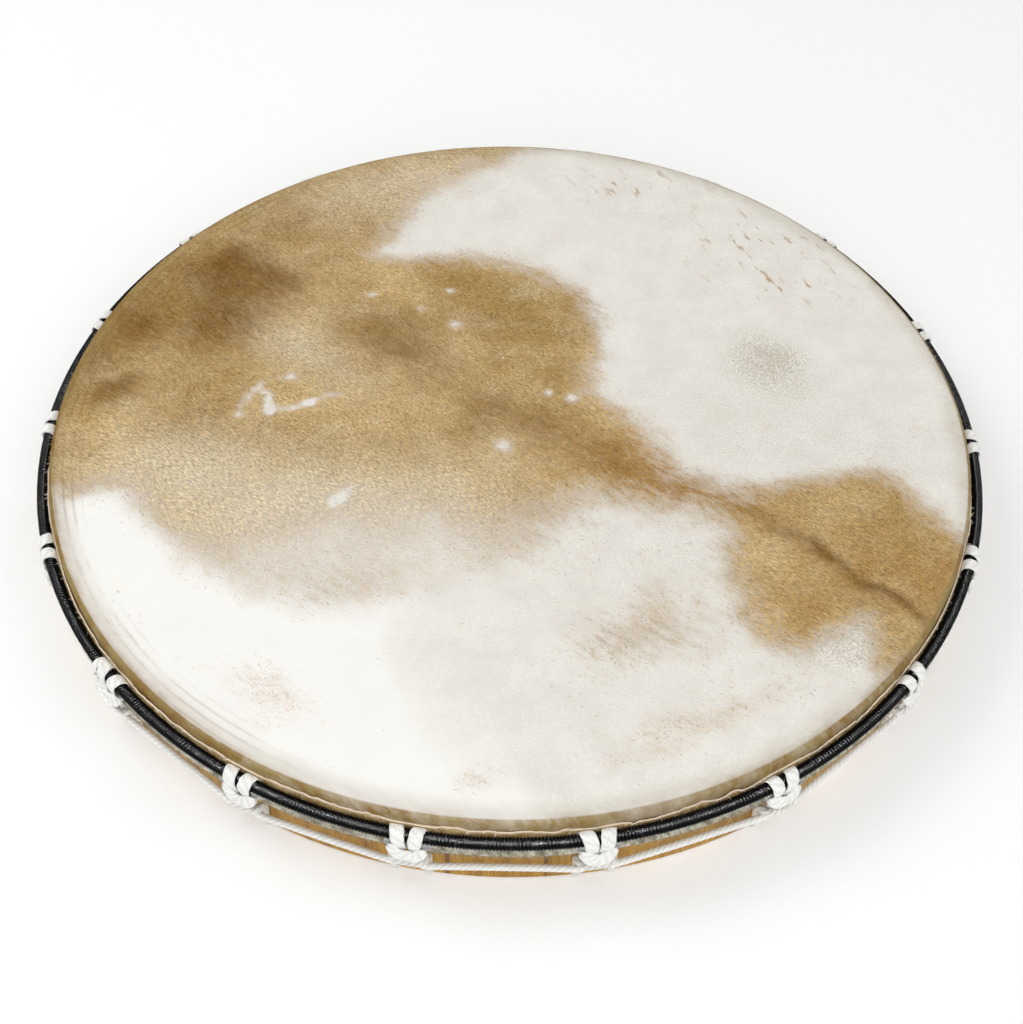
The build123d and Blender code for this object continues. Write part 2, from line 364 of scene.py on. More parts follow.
def hide_finish():
    """The hair side: a shaved hide, white with a tan saddle and a dark line down the spine."""
    f = Finish("hide_hair_side")
    tan, dark, gold, cool = f.read("coat")
    bare, fleck, rim_stain_and_shade, pale = f.read("skin")
    lapped, cut, left, _ = f.read("edge")

    wander = f.noise(9.0, detail=2.0)
    bent = f.add("VectorMath", {0: f.place}, operation="ADD")
    sway = f.add("CombineXYZ", {0: f.times(wander, 0.05)})
    f.feed(bent.inputs[1], sway.outputs[0])
    hair = f.noise(1.0, f.stretched(38, (260, 1000, 260), bent.outputs[0]), detail=3.0, roughness=0.75)
    tufts = f.noise(1.0, f.stretched(38, (80, 210, 80), bent.outputs[0]), detail=5.0, roughness=0.7)
    grain = f.noise(780.0, detail=3.0, roughness=0.7)
    blots = f.noise(34.0, detail=6.0, roughness=0.66)
    clouds = f.noise(13.0, detail=5.0, roughness=0.62)
    hair_swing = f.math("SUBTRACT", hair, 0.5)
    grain_swing = f.math("SUBTRACT", grain, 0.5)

    ragged = f.plus(f.times(f.math("SUBTRACT", tufts, 0.5), 1.05),
                    f.times(hair_swing, 0.95))
    coat = f.ramp(f.plus(tan, ragged), 0.16, 0.84)

    white = f.mix(f.ramp(blots, 0.30, 0.72), (238, 235, 227), (230, 225, 216))
    white = f.mix(f.times(cool, f.ramp(tufts, 0.3, 0.7, 0.55, 1.0)), white, (200, 192, 176))
    bald = f.mix(f.ramp(clouds, 0.4, 0.75), (248, 246, 241), (243, 240, 233))
    white = f.mix(bare, white, bald)
    brown = coat_colour(f, dark, gold, pale, ragged, clouds, blots)
    skin = f.mix(coat, white, brown)

    streak = f.times(hair_swing, f.ramp(coat, 0.0, 1.0, 0.20, 2.9))
    streak = f.plus(streak, f.times(grain_swing, f.ramp(coat, 0.0, 1.0, 0.30, 1.0)))
    streak = f.times(streak, f.ramp(bare, 0.0, 1.0, 1.0, 0.22))
    pebbles = f.times(f.ramp(cool, 0.0, 0.5), f.ramp(coat, 0.0, 1.0, 1.3, 0.0))
    streak = f.plus(streak, f.times(grain_swing, f.times(pebbles, 1.4)))
    skin = f.shaded(skin, f.plus(1.0, streak))

    spray = f.times(f.ramp(f.plus(grain, f.times(tan, 0.5)), 0.60, 0.78), tan)
    spray = f.times(spray, f.math("SUBTRACT", 1.0, coat))
    skin = f.mix(f.times(spray, 1.6), skin, (196, 170, 140))
    dashes = f.noise(1.0, f.stretched(62, (62, 175, 62)), detail=2.5)
    specks = f.times(f.ramp(dashes, 0.58, 0.70), fleck)
    skin = f.mix(f.times(specks, 0.75), skin, (174, 138, 84))
    nicks = f.times(f.ramp(f.noise(120.0, detail=2.0), 0.78, 0.82), coat)
    skin = f.mix(f.times(nicks, 0.7), skin, (236, 228, 212))

    x, y, _ = f.add("SeparateXYZ", {0: f.place}).outputs
    reach = f.plus(f.hypot(x, y), f.times(clouds, 0.004))
    lines = f.math("SINE", f.times(reach, 1100.0))
    lines = f.times(f.ramp(lines, 0.2, 1.0), f.ramp(reach, 0.276, 0.290))
    lines = f.times(f.times(lines, left), f.ramp(clouds, 0.35, 0.6))
    skin = f.mix(f.times(lines, 0.35), skin, (128, 96, 52))
    # Olive-brown at the rim: a stain, with painted shade over the rounded edge and down the wall
    rim = f.mix(f.ramp(blots, 0.40, 0.62), (152, 132, 84), (136, 105, 50))
    skin = f.mix(f.times(rim_stain_and_shade, f.ramp(tufts, 0.3, 0.7, 0.75, 1.0)), skin, rim)
    lap = f.mix(hair, (146, 114, 62), (206, 180, 132))
    skin = f.mix(f.times(lapped, 0.85), skin, lap)
    skin = f.mix(cut, skin, (240, 222, 198))

    fuzz = f.times(hair, f.ramp(coat, 0.0, 1.0, 0.45, 1.0))
    fuzz = f.plus(fuzz, f.times(grain, 0.6))
    fuzz = f.times(fuzz, f.ramp(bare, 0.0, 1.0, 1.0, 0.3))
    normal = f.bump(fuzz, 0.8, 0.0008)
    normal = f.bump(f.plus(blots, f.times(lines, 0.3)), 0.25, 0.0012, normal)
    rough = f.ramp(bare, 0.0, 1.0, 0.68, 0.50)
    return f.done(Base_Color=skin, Roughness=rough, Normal=normal, Specular_IOR_Level=0.03)


def flesh_finish():
    """The flesh side of the hide: parchment, with the coat showing faintly through."""
    f = Finish("hide_flesh_side")
    tan, dark, gold, _ = f.read("coat")
    folded, cut, _, _ = f.read("edge")
    blots = f.noise(30.0, detail=5.0, roughness=0.65)
    fibres = f.noise(1.0, f.stretched(20, (160, 520, 160)), detail=4.0)
    skin = f.mix(f.ramp(blots, 0.3, 0.75), (214, 202, 172), (184, 170, 136))
    skin = f.mix(f.times(tan, 0.45), skin, (176, 148, 104))
    skin = f.mix(f.times(dark, 0.40), skin, (122, 98, 66))
    skin = f.mix(f.ramp(fibres, 0.45, 0.8, 0.0, 0.35), skin, (146, 138, 112))
    lap = f.mix(f.ramp(fibres, 0.3, 0.7), (122, 118, 98), (206, 202, 186))
    flap = f.mix(f.ramp(fibres, 0.3, 0.7), (180, 142, 80), (230, 202, 146))
    skin = f.mix(f.ramp(folded, 0.2, 0.45), skin, f.mix(f.ramp(folded, 0.6, 0.9), flap, lap))
    skin = f.mix(cut, skin, (238, 222, 200))
    normal = f.bump(f.plus(fibres, blots), 0.5, 0.0008)
    return f.done(Base_Color=skin, Roughness=0.6, Normal=normal, Specular_IOR_Level=0.03)


def whipping_finish():
    """Glossy black cord, waxed, with fine yarns across each turn."""
    f = Finish("whipping_black_cord")
    yarns = f.noise(2400.0, detail=2.0)
    wear = f.noise(60.0, detail=4.0)
    body = f.mix(f.ramp(wear, 0.4, 0.8), (3, 3, 4), (9, 8, 10))
    rough = f.ramp(wear, 0.3, 0.8, 0.15, 0.24)
    return f.done(Base_Color=body, Roughness=rough, Normal=f.bump(yarns, 0.1, 0.0002),
                  Specular_IOR_Level=0.05)


def rope_finish(name, light, shadow, soiling):
    """White laid rope: yarns that follow the lay, each painted from its light to its shadow colour as painted
    shade, painted shade in the grooves between the strands, and a little dirt.
    """
    f = Finish(name)
    groove, yarn, end, _ = f.read("lay")
    fibres = f.noise(1700.0, detail=2.0)
    dirt = f.noise(70.0, detail=4.0)
    # painted shade: each yarn goes from the light colour to the shadow colour across it
    body = f.mix(f.ramp(yarn, 0.15, 0.75), shadow, light)
    # painted shade: greyer down in the grooves between the strands
    body = f.mix(f.times(groove, 0.35), body, (176, 174, 167))
    body = f.mix(f.ramp(dirt, 0.52, 0.80, 0.0, soiling), body, (168, 158, 138))
    body = f.mix(end, body, (190, 182, 160))
    normal = f.bump(yarn, 0.5, 0.0004)
    normal = f.bump(fibres, 0.3, 0.0003, normal)
    return f.done(Base_Color=body, Roughness=0.72, Normal=normal, Specular_IOR_Level=0.03)


def wood_finish():
    """Honey-coloured bent wood, its grain running up the hoop's wall, under a satin varnish."""
    f = Finish("hoop_honey_wood")
    x, y, z = f.add("SeparateXYZ", {0: f.place}).outputs
    around = f.times(f.math("ARCTAN2", y, x), 0.3)
    wall = f.add("CombineXYZ", {0: around, 1: f.hypot(x, y), 2: z}).outputs[0]
    bands = f.noise(1.0, f.stretched(0, (110, 110, 7), wall), detail=3.0)
    pores = f.noise(1.0, f.stretched(0, (1300, 1300, 45), wall), detail=3.0)
    broad = f.noise(1.0, f.stretched(0, (16, 16, 5), wall), detail=2.0)
    body = f.mix(f.ramp(bands, 0.35, 0.65), (186, 142, 46), (154, 110, 28))
    body = f.mix(f.ramp(broad, 0.35, 0.7, 0.0, 0.5), body, (200, 156, 60))
    body = f.mix(f.ramp(pores, 0.50, 0.70, 0.0, 0.7), body, (112, 74, 24))
    body = f.mix(f.ramp(f.noise(1.0, f.stretched(0, (210, 210, 3), wall), detail=1.0), 0.60, 0.68, 0.0, 0.75),
                 body, (96, 60, 18))
    normal = f.bump(pores, 0.25, 0.0004)
    return f.done(Base_Color=body, Roughness=f.ramp(pores, 0.3, 0.8, 0.34, 0.55), Normal=normal,
                  Coat_Weight=0.03, Coat_Roughness=0.3, Specular_IOR_Level=0.2)


def steel_finish():
    """Drawn steel rod with light surface rust."""
    f = Finish("ring_drawn_steel")
    rust = f.noise(90.0, detail=5.0)
    body = f.mix(f.ramp(rust, 0.55, 0.75, 0.0, 0.6), (150, 150, 152), (110, 72, 48))
    return f.done(Base_Color=body, Metallic=f.ramp(rust, 0.55, 0.75, 1.0, 0.3),
                  Roughness=f.ramp(rust, 0.4, 0.8, 0.3, 0.7), Normal=f.bump(f.noise(700.0), 0.15, 0.0003))


def floor_finish():
    """A pale lit table, as product photographs are taken on."""
    f = Finish("floor_pale")
    body = f.mix(f.noise(4.0, detail=2.0), (224, 224, 223), (221, 221, 220))
    return f.done(Base_Color=body, Roughness=0.9, Specular_IOR_Level=0.02,
                  Emission_Color=(1, 1, 1, 1), Emission_Strength=0.28)


# The head --------

def coat_values(x, y):
    """What grows where on the hide: the values that the hide's materials read."""
    wx = x + 10 * fractal(x, y, 55) + 7 * fractal(x, y, 17, shift=5.0)
    wy = y + 10 * fractal(x, y, 55, shift=90.0) + 7 * fractal(x, y, 17, shift=50.0)
    saddle = inside(wx, wy, UPPER_EDGE + [(45, -25)], [*curve_through(LOWER_EDGE[::-1]), (-45, 0), (0, 45)])
    flank = inside(wx, wy, BARE_EDGE, [(-20, -45), (-45, -20)])
    soft = 1.8 + ovals(x, y, SOFT_EDGES)
    tan = ramp(saddle / soft, -11, 13)
    tan *= 1 - ovals(wx, wy, THIN_COAT)
    tan *= 1 - 0.45 * spot(wx, wy, -7, 26, 8, 2.5, 17) * (0.5 + fractal(x, y, 20, shift=6.0))
    tan += ovals(wx, wy, FAINT_TAN)
    tan += 0.10 * spot(wx, wy, 6, -14, 14, 6, -15) * (1 + 1.5 * fractal(x, y, 22, shift=21.0))
    for scratch in SCRATCHES:
        apart, _ = line_distance(x, y, curve_through(scratch) * 10)
        tan -= 0.9 * np.exp(-(apart / 4.5) ** 2) * (0.8 + 1.2 * fractal(x, y, 9, shift=33.0))
    for cx, cy, size in NICKS:
        tan -= 0.8 * spot(x, y, cx, cy, size)
    pale = ovals(wx, wy, PALE_COAT)

    ridge, along = line_distance(wx, wy, curve_through(SPINE) * 10)
    mottle = 0.9 + 0.7 * fractal(x, y, 48, octaves=5, shift=12.0)
    width = 27 - 18 * ramp(along, 0.1, 0.75) + 5 * fractal(x, y, 30, shift=44.0)
    broken = 0.85 + 0.8 * fractal(x, y, 20, shift=61.0)
    dark = (0.32 + 0.65 * ramp(along, 0.5, 0.8) * broken) * np.exp(-(ridge / width) ** 2)
    for cx, cy, size, depth in DARK_CLOUDS:
        dark += depth * spot(wx, wy, cx, cy, size, 0.62 * size, 30)
    dark *= np.clip(tan, 0, 1) * mottle
    gold = 0.35 * ramp(along, 0.3, 0.6) * np.exp(-(ridge / 24) ** 2)
    for cx, cy, size, depth in GOLD_CLOUDS:
        gold += depth * spot(wx, wy, cx, cy, size, 0.7 * size, -30)
    cool = ovals(wx, wy, COOL_GREY)
    bare = ramp(flank / (1 + 2 * spot(x, y, -4, -22, 4, 10)), -7, 16) * (1 - 0.3 * np.clip(tan, 0, 1))
    fleck = ovals(wx, wy, FLECKS)
    r = np.hypot(x, y)
    left = ramp(-x, 40, 250)
    # Olive-brown over the rounded edge and down the wall: partly a stain, partly painted shade where the hide
    # turns down away from the light. The fainter tint inside the rim, stronger on the left, is a real stain.
    rim_stain_and_shade = 0.75 * ramp(r + 2 * fractal(x, y, 30), 296.5, 300)
    rim_stain_and_shade += 0.30 * ramp(r + 5 * fractal(x, y, 40), 284, 298)
    rim_stain_and_shade += 0.20 * ramp(r, 278, 297) * left
    return (np.clip(tan, 0, 1), dark, gold, cool), (bare, fleck, rim_stain_and_shade, pale), left


def rim_gap(azimuth, place):
    """Distance along the head's rim between azimuths, in radians, and a place on it."""
    return np.abs((azimuth - place + pi) % (2 * pi) - pi) * HEAD_R


def cut_edge(azimuth):
    """Height of the hide's cut edge and how far it leans out, along azimuths in radians."""
    x, y = np.cos(azimuth) * HEAD_R, np.sin(azimuth) * HEAD_R
    height = CUT_EDGE + 2.4 * fractal(x, y, 38) + 3.4 * fractal(x, y, 9, shift=3.0)
    lean = 0.5 + 0.9 * fractal(x, y, 26, shift=8.0)
    cuts = np.random.default_rng(11)
    for place, depth, half in zip(cuts.uniform(0, 2 * pi, NOTCHES), cuts.uniform(1.5, 4.2, NOTCHES),
                                  cuts.uniform(1.2, 3.0, NOTCHES)):
        height -= depth * np.clip(1 - rim_gap(azimuth, place) / half, 0, 1)
    for k in range(HITCHES):
        held = 1 - ramp(rim_gap(azimuth, radians(hitch_azimuth(k))), 12, 20)
        lean *= 1 - held
        height = height * (1 - held) + np.minimum(height, CUT_EDGE - 0.6) * held
    return np.clip(height, 50.5, 57.0), np.clip(lean, 0, 1.2)


def head_rows():
    """The hide's rings from its centre out, over the edge, round the flesh hoop and up to the cut edge.

    Each is (points in the ring, radius, height, lapped, cut, radius at which its coat is looked up).
    """
    rows = []
    middle = DEPTH - SKIN / 2
    flat_r = HEAD_R - EDGE_ROUND
    for r in np.linspace(CELL, flat_r, round(flat_r / CELL)):
        count = 24
        while 2 * pi * r / count > CELL and count < RIM_POINTS:
            count *= 2
        rows.append((count, r, middle, 0, 0, r))
    bend = EDGE_ROUND - SKIN / 2
    for a in np.radians([20, 42, 66, 90]):
        rows.append((RIM_POINTS, flat_r + bend * sin(a), DEPTH - EDGE_ROUND + bend * cos(a), 0, 0, HEAD_R))
    for z in (55, 50, 44):
        rows.append((RIM_POINTS, HEAD_R - SKIN / 2, z, 0.1, 0, HEAD_R))
    lap = ROD_R + LAP_GAP + SKIN / 2
    for a in np.radians(np.linspace(180, 504, 15)):
        rows.append((RIM_POINTS, FLESH_R + lap * cos(a), FLESH_Z + lap * sin(a), 1, 0, HEAD_R))
    for share in (0.25, 0.5, 0.72, 0.88, 0.96, 1.0):
        rows.append((CUT_POINTS, FLAP_R, share, 0.5, float(share > 0.95), HEAD_R))
    return rows


def relief(x, y):
    """How far the hide stands above its flat plane: faint waves, and the slight dip of a tuned head."""
    r = np.hypot(x, y)
    waves = 0.35 * fractal(x, y, 90) + 0.10 * fractal(x, y, 18, shift=4.0)
    return waves * (1 - ramp(r, 270, 297)) - 0.5 * (1 - (r / HEAD_R) ** 2) * (r < HEAD_R - EDGE_ROUND)


def make_head():
    """The hide, as one sheet."""
    points, faces = [np.array([[0, 0, DEPTH - SKIN / 2]])], []
    marks = [np.zeros((1, 4))]
    start, previous = 1, None
    for count, r, z, lapped, cut, look_r in head_rows():
        a = np.arange(count) * 2 * pi / count
        radius, height = np.full(count, float(r)), np.full(count, float(z))
        if count == CUT_POINTS:
            top, lean = cut_edge(a)
            height = FLAP_FOOT + z * (top - FLAP_FOOT)
            radius = r + lean * z ** 3
        ring = np.stack([radius * np.cos(a), radius * np.sin(a), height], 1)
        points.append(ring)
        marks.append(np.stack([look_r * np.cos(a), look_r * np.sin(a), np.full(count, lapped),
                               np.full(count, cut)], 1))
        if previous is None:
            faces += [(0, start + i, start + (i + 1) % count) for i in range(count)]
        else:
            faces += ring_faces(*previous, start, count)
        previous = (start, count)
        start += count
    points, marks = np.vstack(points), np.vstack(marks)
    x, y = points[:, 0], points[:, 1]
    points[:, 2] += relief(x, y)
    head = mesh_piece("hide_head", points, faces)
    coat, skin, left = coat_values(marks[:, 0], marks[:, 1])
    paint(head, "coat", coat)
    paint(head, "skin", skin)
    paint(head, "edge", (marks[:, 2], marks[:, 3], left))
    thick = head.modifiers.new("hide_thickness", "SOLIDIFY")
    thick.thickness = SKIN * MM
    thick.offset = 0
    thick.material_offset = 1
    thick.material_offset_rim = 1
    for finish in (hide_finish(), flesh_finish()):
        head.data.materials.append(finish)
    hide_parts("head_skin")
    return head


def ring_faces(inner, inner_count, outer, outer_count):
    """Faces between two rings, where the outer one has as many points or twice as many."""
    if inner_count == outer_count:
        return [(inner + i, outer + i, outer + (i + 1) % outer_count, inner + (i + 1) % inner_count)
                for i in range(inner_count)]
    faces = []
    for i in range(inner_count):
        here, beside = inner + i, inner + (i + 1) % inner_count
        first, middle, last = (outer + (2 * i + j) % outer_count for j in range(3))
        faces += [(here, first, middle), (here, middle, beside), (beside, middle, last)]
    return faces


# Hair --------

def blades(name, roots, directions, lengths, widths, finish):
    """Short flat hairs: each a bent blade of two faces that ends in a point."""
    sway = unit(np.cross(directions, (0, 0, 1) + rng.normal(0, 0.35, roots.shape)))
    curl = np.clip(rng.normal(0, 0.16, (len(roots), 1)), -0.2, 0.2)
    bend = np.cross(sway, directions) * lengths[:, None] * curl
    half = sway * widths[:, None] / 2
    middle = roots + directions * lengths[:, None] * 0.5 + bend
    tip = roots + directions * lengths[:, None] - bend
    points = np.stack([roots - half, roots + half, middle + half * 0.8, middle - half * 0.8, tip], 1)
    points = points.reshape(-1, 3)
    faces = []
    for i in range(0, len(points), 5):
        faces += [(i, i + 1, i + 2, i + 3), (i + 3, i + 2, i + 4)]
    piece = mesh_piece(name, points, faces)
    tone = np.repeat(rng.random(len(roots)), 5)
    paint(piece, "tone", (tone, tone, tone))
    piece.data.materials.append(finish)
    return piece


def hair_finish(name, root, tip):
    """Hair whose colour varies from one hair to the next."""
    f = Finish(name)
    tone, *_ = f.read("tone")
    body = f.mix(tone, root, tip)
    body = f.mix(f.ramp(f.noise(55.0, detail=2.0), 0.4, 0.65, 0.0, 0.5), body, (122, 98, 60))
    return f.done(Base_Color=body, Roughness=0.6, Specular_IOR_Level=0.02)


def coat_hair_finish():
    """Hair of the tan coat, which takes its colour from where it grows."""
    f = Finish("coat_hair")
    _, dark, gold, pale = f.read("coat")
    tone, *_ = f.read("tone")
    clouds = f.noise(13.0, detail=5.0, roughness=0.62)
    blots = f.noise(34.0, detail=6.0)
    brown = coat_colour(f, dark, gold, pale, 0.0, clouds, blots)
    body = f.shaded(brown, f.ramp(tone, 0.0, 1.0, 0.38, 1.46))
    return f.done(Base_Color=body, Roughness=0.65, Specular_IOR_Level=0.01)


def make_coat_hair():
    """Short clipped hair lying on the tan part of the hide, all combed the way the spine runs."""
    x, y = rng.uniform(-HEAD_R, HEAD_R, (2, HAIRS))
    (tan, dark, gold, _), (_, _, _, pale), _ = coat_values(x, y)
    bald = 0.35 + 0.9 * fractal(x, y, 24, shift=71.0)
    grows = (rng.random(HAIRS) < tan - 0.25 * bald) & (np.hypot(x, y) < HEAD_R - EDGE_ROUND - 2)
    x, y = x[grows], y[grows]
    combed = np.radians(-38 + 22 * fractal(x, y, 80, shift=9.0) + rng.normal(0, 13, len(x)))
    lift = rng.uniform(0.03, 0.10, len(x))
    way = unit(np.stack([np.cos(combed), np.sin(combed), lift], 1))
    roots = np.stack([x, y, DEPTH + relief(x, y) - 0.02], 1)
    lengths, widths = rng.uniform(1.2, 3.2, len(x)), rng.uniform(0.13, 0.27, len(x))
    piece = blades("hide_coat_hair", roots, way, lengths, widths, coat_hair_finish())
    paint(piece, "coat", [np.repeat(v[grows], 5) for v in (tan, dark, gold, pale)])


def clear_of_hitches(azimuth, gap):
    """Azimuths in radians that are more than gap millimetres from every hitch."""
    keep = np.ones(len(azimuth), bool)
    for k in range(HITCHES):
        keep &= rim_gap(azimuth, radians(hitch_azimuth(k))) > gap
    return azimuth[keep]


def edge_way(a, out, up, along):
    """Unit directions at azimuths a, from how far they point out, up and along the edge."""
    outward = np.stack([np.cos(a), np.sin(a), 0 * a], 1)
    tangent = np.stack([-np.sin(a), np.cos(a), 0 * a], 1)
    return unit(outward * out + np.array([0, 0, 1.0]) * up + tangent * along)


def edge_roots(a, r, z):
    """Points at azimuths a, radii r and heights z."""
    return np.stack([r * np.cos(a), r * np.sin(a), z], 1)


def make_edge_hair():
    """Hair left on the hide's lapped flap, above and below the crown ring, and threads at its cut edge."""
    a = clear_of_hitches(rng.uniform(0, 2 * pi, FLAP_HAIRS), 10)
    top, lean = cut_edge(a)
    share = rng.uniform(0.55, 0.97, len(a))
    roots = edge_roots(a, HEAD_R + 0.8 + lean * share ** 3, FLAP_FOOT + share * (top - FLAP_FOOT))
    slant = rng.normal(0.3, 0.5, (len(a), 1))
    way = edge_way(a, 0.35, -rng.uniform(0.2, 1.0, (len(a), 1)), slant)
    blades("hide_flap_hair", roots, way, rng.uniform(0.9, 2.2, len(a)), rng.uniform(0.15, 0.3, len(a)),
           hair_finish("flap_hair", (172, 136, 80), (240, 216, 170)))

    a = clear_of_hitches(rng.uniform(0, 2 * pi, LAP_HAIRS), 9)
    thick = np.stack([np.cos(a) * HEAD_R, np.sin(a) * HEAD_R])
    a = a[fractal(*thick, 45, shift=14.0) > rng.uniform(-0.5, 0.45, len(a))]
    lap = ROD_R + LAP_GAP + SKIN
    around = rng.uniform(-0.75, 0.85, len(a))
    roots = edge_roots(a, FLESH_R + lap * np.cos(around), FLESH_Z + lap * np.sin(around))
    way = edge_way(a, 0.45, -rng.uniform(0.3, 1.0, (len(a), 1)), rng.normal(0.2, 0.45, (len(a), 1)))
    blades("hide_lap_hair", roots, way, rng.uniform(1.2, 2.8, len(a)), rng.uniform(0.12, 0.26, len(a)),
           hair_finish("lap_hair", (86, 80, 62), (214, 210, 192)))

    a = clear_of_hitches(rng.uniform(0, 2 * pi, THREADS), 9)
    top, lean = cut_edge(a)
    roots = edge_roots(a, HEAD_R + 0.6 + lean, top - 0.2)
    way = edge_way(a, 0.8, rng.normal(0.1, 0.4, (len(a), 1)), rng.normal(0, 1.0, (len(a), 1)))
    blades("hide_cut_threads", roots, way, rng.uniform(1.0, 4.0, len(a)), rng.uniform(0.2, 0.45, len(a)),
           hair_finish("cut_threads", (232, 216, 190), (250, 244, 232)))


# Whipping --------

def make_whipping(name, node, centre_r, z, finish):
    """A cord wound tightly round a ring: a helical ridge whose mesh follows the turns."""
    turns = round(2 * pi * centre_r / WHIP_PITCH)
    per_turn, sides = 8, 14
    count = turns * per_turn
    i, j = np.meshgrid(np.arange(count), np.arange(sides), indexing="ij")
    swell = np.sqrt(1 - (2 * (i % per_turn) / per_turn - 1) ** 2)
    uneven = 0.06 * np.sin(i // per_turn * 2.4) + 0.05 * np.sin(i // per_turn * 0.71)
    radius = ROD_R + 0.02 + (WHIPPING + 0.06 + uneven * 0.6) * swell
    azimuth = 2 * pi * (i / per_turn + j / sides) / turns
    around = 2 * pi * j / sides
    r = centre_r + radius * np.cos(around)
    points = np.stack([r * np.cos(azimuth), r * np.sin(azimuth), z + radius * np.sin(around)], -1)
    points = points.reshape(-1, 3)
    faces = []
    for a in range(count):
        for b in range(sides):
            carry = per_turn if b == sides - 1 else 0
            c = (b + 1) % sides
            faces.append((a * sides + b, (a + 1) % count * sides + b,
                          (a + 1 + carry) % count * sides + c, (a + carry) % count * sides + c))
    piece = mesh_piece(name, points, faces)
    ends = np.empty(2 * len(piece.data.edges), np.int32)
    piece.data.edges.foreach_get("vertices", ends)
    creases = (ends.reshape(-1, 2) // sides % per_turn == 0).all(axis=1)
    piece.data.attributes.new("sharp_edge", "BOOLEAN", "EDGE").data.foreach_set("value", creases)
    piece.data.materials.append(finish)
    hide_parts(node)
    return piece


# Ropes --------

def resample(line, values, step, closed):
    """The line and the values along it, at even steps."""
    if closed:
        line, values = np.vstack([line, line[:1]]), np.vstack([values, values[:1]])
    length = np.concatenate([[0], np.cumsum(np.linalg.norm(np.diff(line, axis=0), axis=1))])
    places = np.linspace(0, length[-1], max(8, int(length[-1] / step)))
    if closed:
        places = places[:-1]
    both = np.hstack([line, values])
    even = np.stack([np.interp(places, length, both[:, c]) for c in range(both.shape[1])], 1)
    return even[:, :3], even[:, 3:], places


def carried_normals(line):
    """Normals that turn as little as possible along a line."""
    tangents = unit(np.gradient(line, axis=0))
    normal = np.cross(tangents[0], (0.3, 0.2, 1.0))
    normals = []
    for tangent in tangents:
        normal = unit(normal - (normal @ tangent) * tangent)
        normals.append(normal)
    return np.array(normals)


def rope_mesh(line, normals, sizes, step=0.9, sides=24, lay=13.0, phase=0.0, depth=0.10, closed=False):
    """A laid rope of three strands: points, faces and lay values.

    sizes holds a width and a thickness for each point of the line, thickness along its normal.
    """
    line, rest, places = resample(line, np.hstack([normals, sizes]), step, closed)
    normals, width, thick = rest[:, :3], rest[:, 3], rest[:, 4]
    tangents = unit(np.roll(line, -1, 0) - np.roll(line, 1, 0) if closed else np.gradient(line, axis=0))
    normals = unit(normals - (normals * tangents).sum(1)[:, None] * tangents)
    across = np.cross(tangents, normals)
    around = np.arange(sides) * 2 * pi / sides
    twist = 2 * pi * places / lay + phase
    lobes = np.cos(3 * (around[None] - twist[:, None]) / 2)
    groove = 1 - np.abs(lobes) ** 0.7
    swell = 1 - depth * groove
    squash = 0.85
    c = np.sign(np.cos(around)) * np.abs(np.cos(around)) ** squash
    s = np.sign(np.sin(around)) * np.abs(np.sin(around)) ** squash
    points = (line[:, None] + across[:, None] * (width[:, None] / 2 * c * swell)[..., None]
              + normals[:, None] * (thick[:, None] / 2 * s * swell)[..., None])
    count = len(line)
    faces = []
    for a in range(count if closed else count - 1):
        b = (a + 1) % count
        faces += [(a * sides + i, a * sides + (i + 1) % sides, b * sides + (i + 1) % sides, b * sides + i)
                  for i in range(sides)]
    if not closed:
        faces += [tuple(range(sides - 1, -1, -1)), tuple((count - 1) * sides + i for i in range(sides))]
    yarn = 0.5 + 0.5 * np.cos(14 * around[None] + 3 * twist[:, None])
    end = np.zeros_like(groove)
    if not closed:
        end[[0, -1]] = 0.5
    return points.reshape(-1, 3), faces, np.stack([groove.ravel(), yarn.ravel(), end.ravel()])


def pressed_rope(line, normals, sizes, steps, closed=False, **settings):
    """A flattened rope on a smooth curve through a few points, each with its normal and its sizes."""
    smooth = curve_through(np.hstack([line, normals, sizes]), steps, closed)
    return rope_mesh(smooth[:, :3], smooth[:, 3:6], smooth[:, 6:], lay=15.0, closed=closed, **settings)


def round_rope(line, size, **settings):
    """A rope along a line, of one size: its diameter, or its width and thickness."""
    return rope_mesh(line, carried_normals(line), np.full((len(line), 2), size), **settings)


def join(meshes):
    """Several (points, faces, lay values) as one."""
    points, faces, lay, start = [], [], [], 0
    for p, f, v in meshes:
        points.append(p)
        faces += [tuple(i + start for i in face) for face in f]
        lay.append(v)
        start += len(p)
    return np.vstack(points), faces, np.hstack(lay)


def rope_piece(name, meshes, finish, *nodes):
    """A rope piece that stands for CAD nodes."""
    points, faces, lay = join(meshes)
    piece = mesh_piece(name, points, faces)
    paint(piece, "lay", lay)
    piece.data.materials.append(finish)
    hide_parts(*nodes)
    return piece


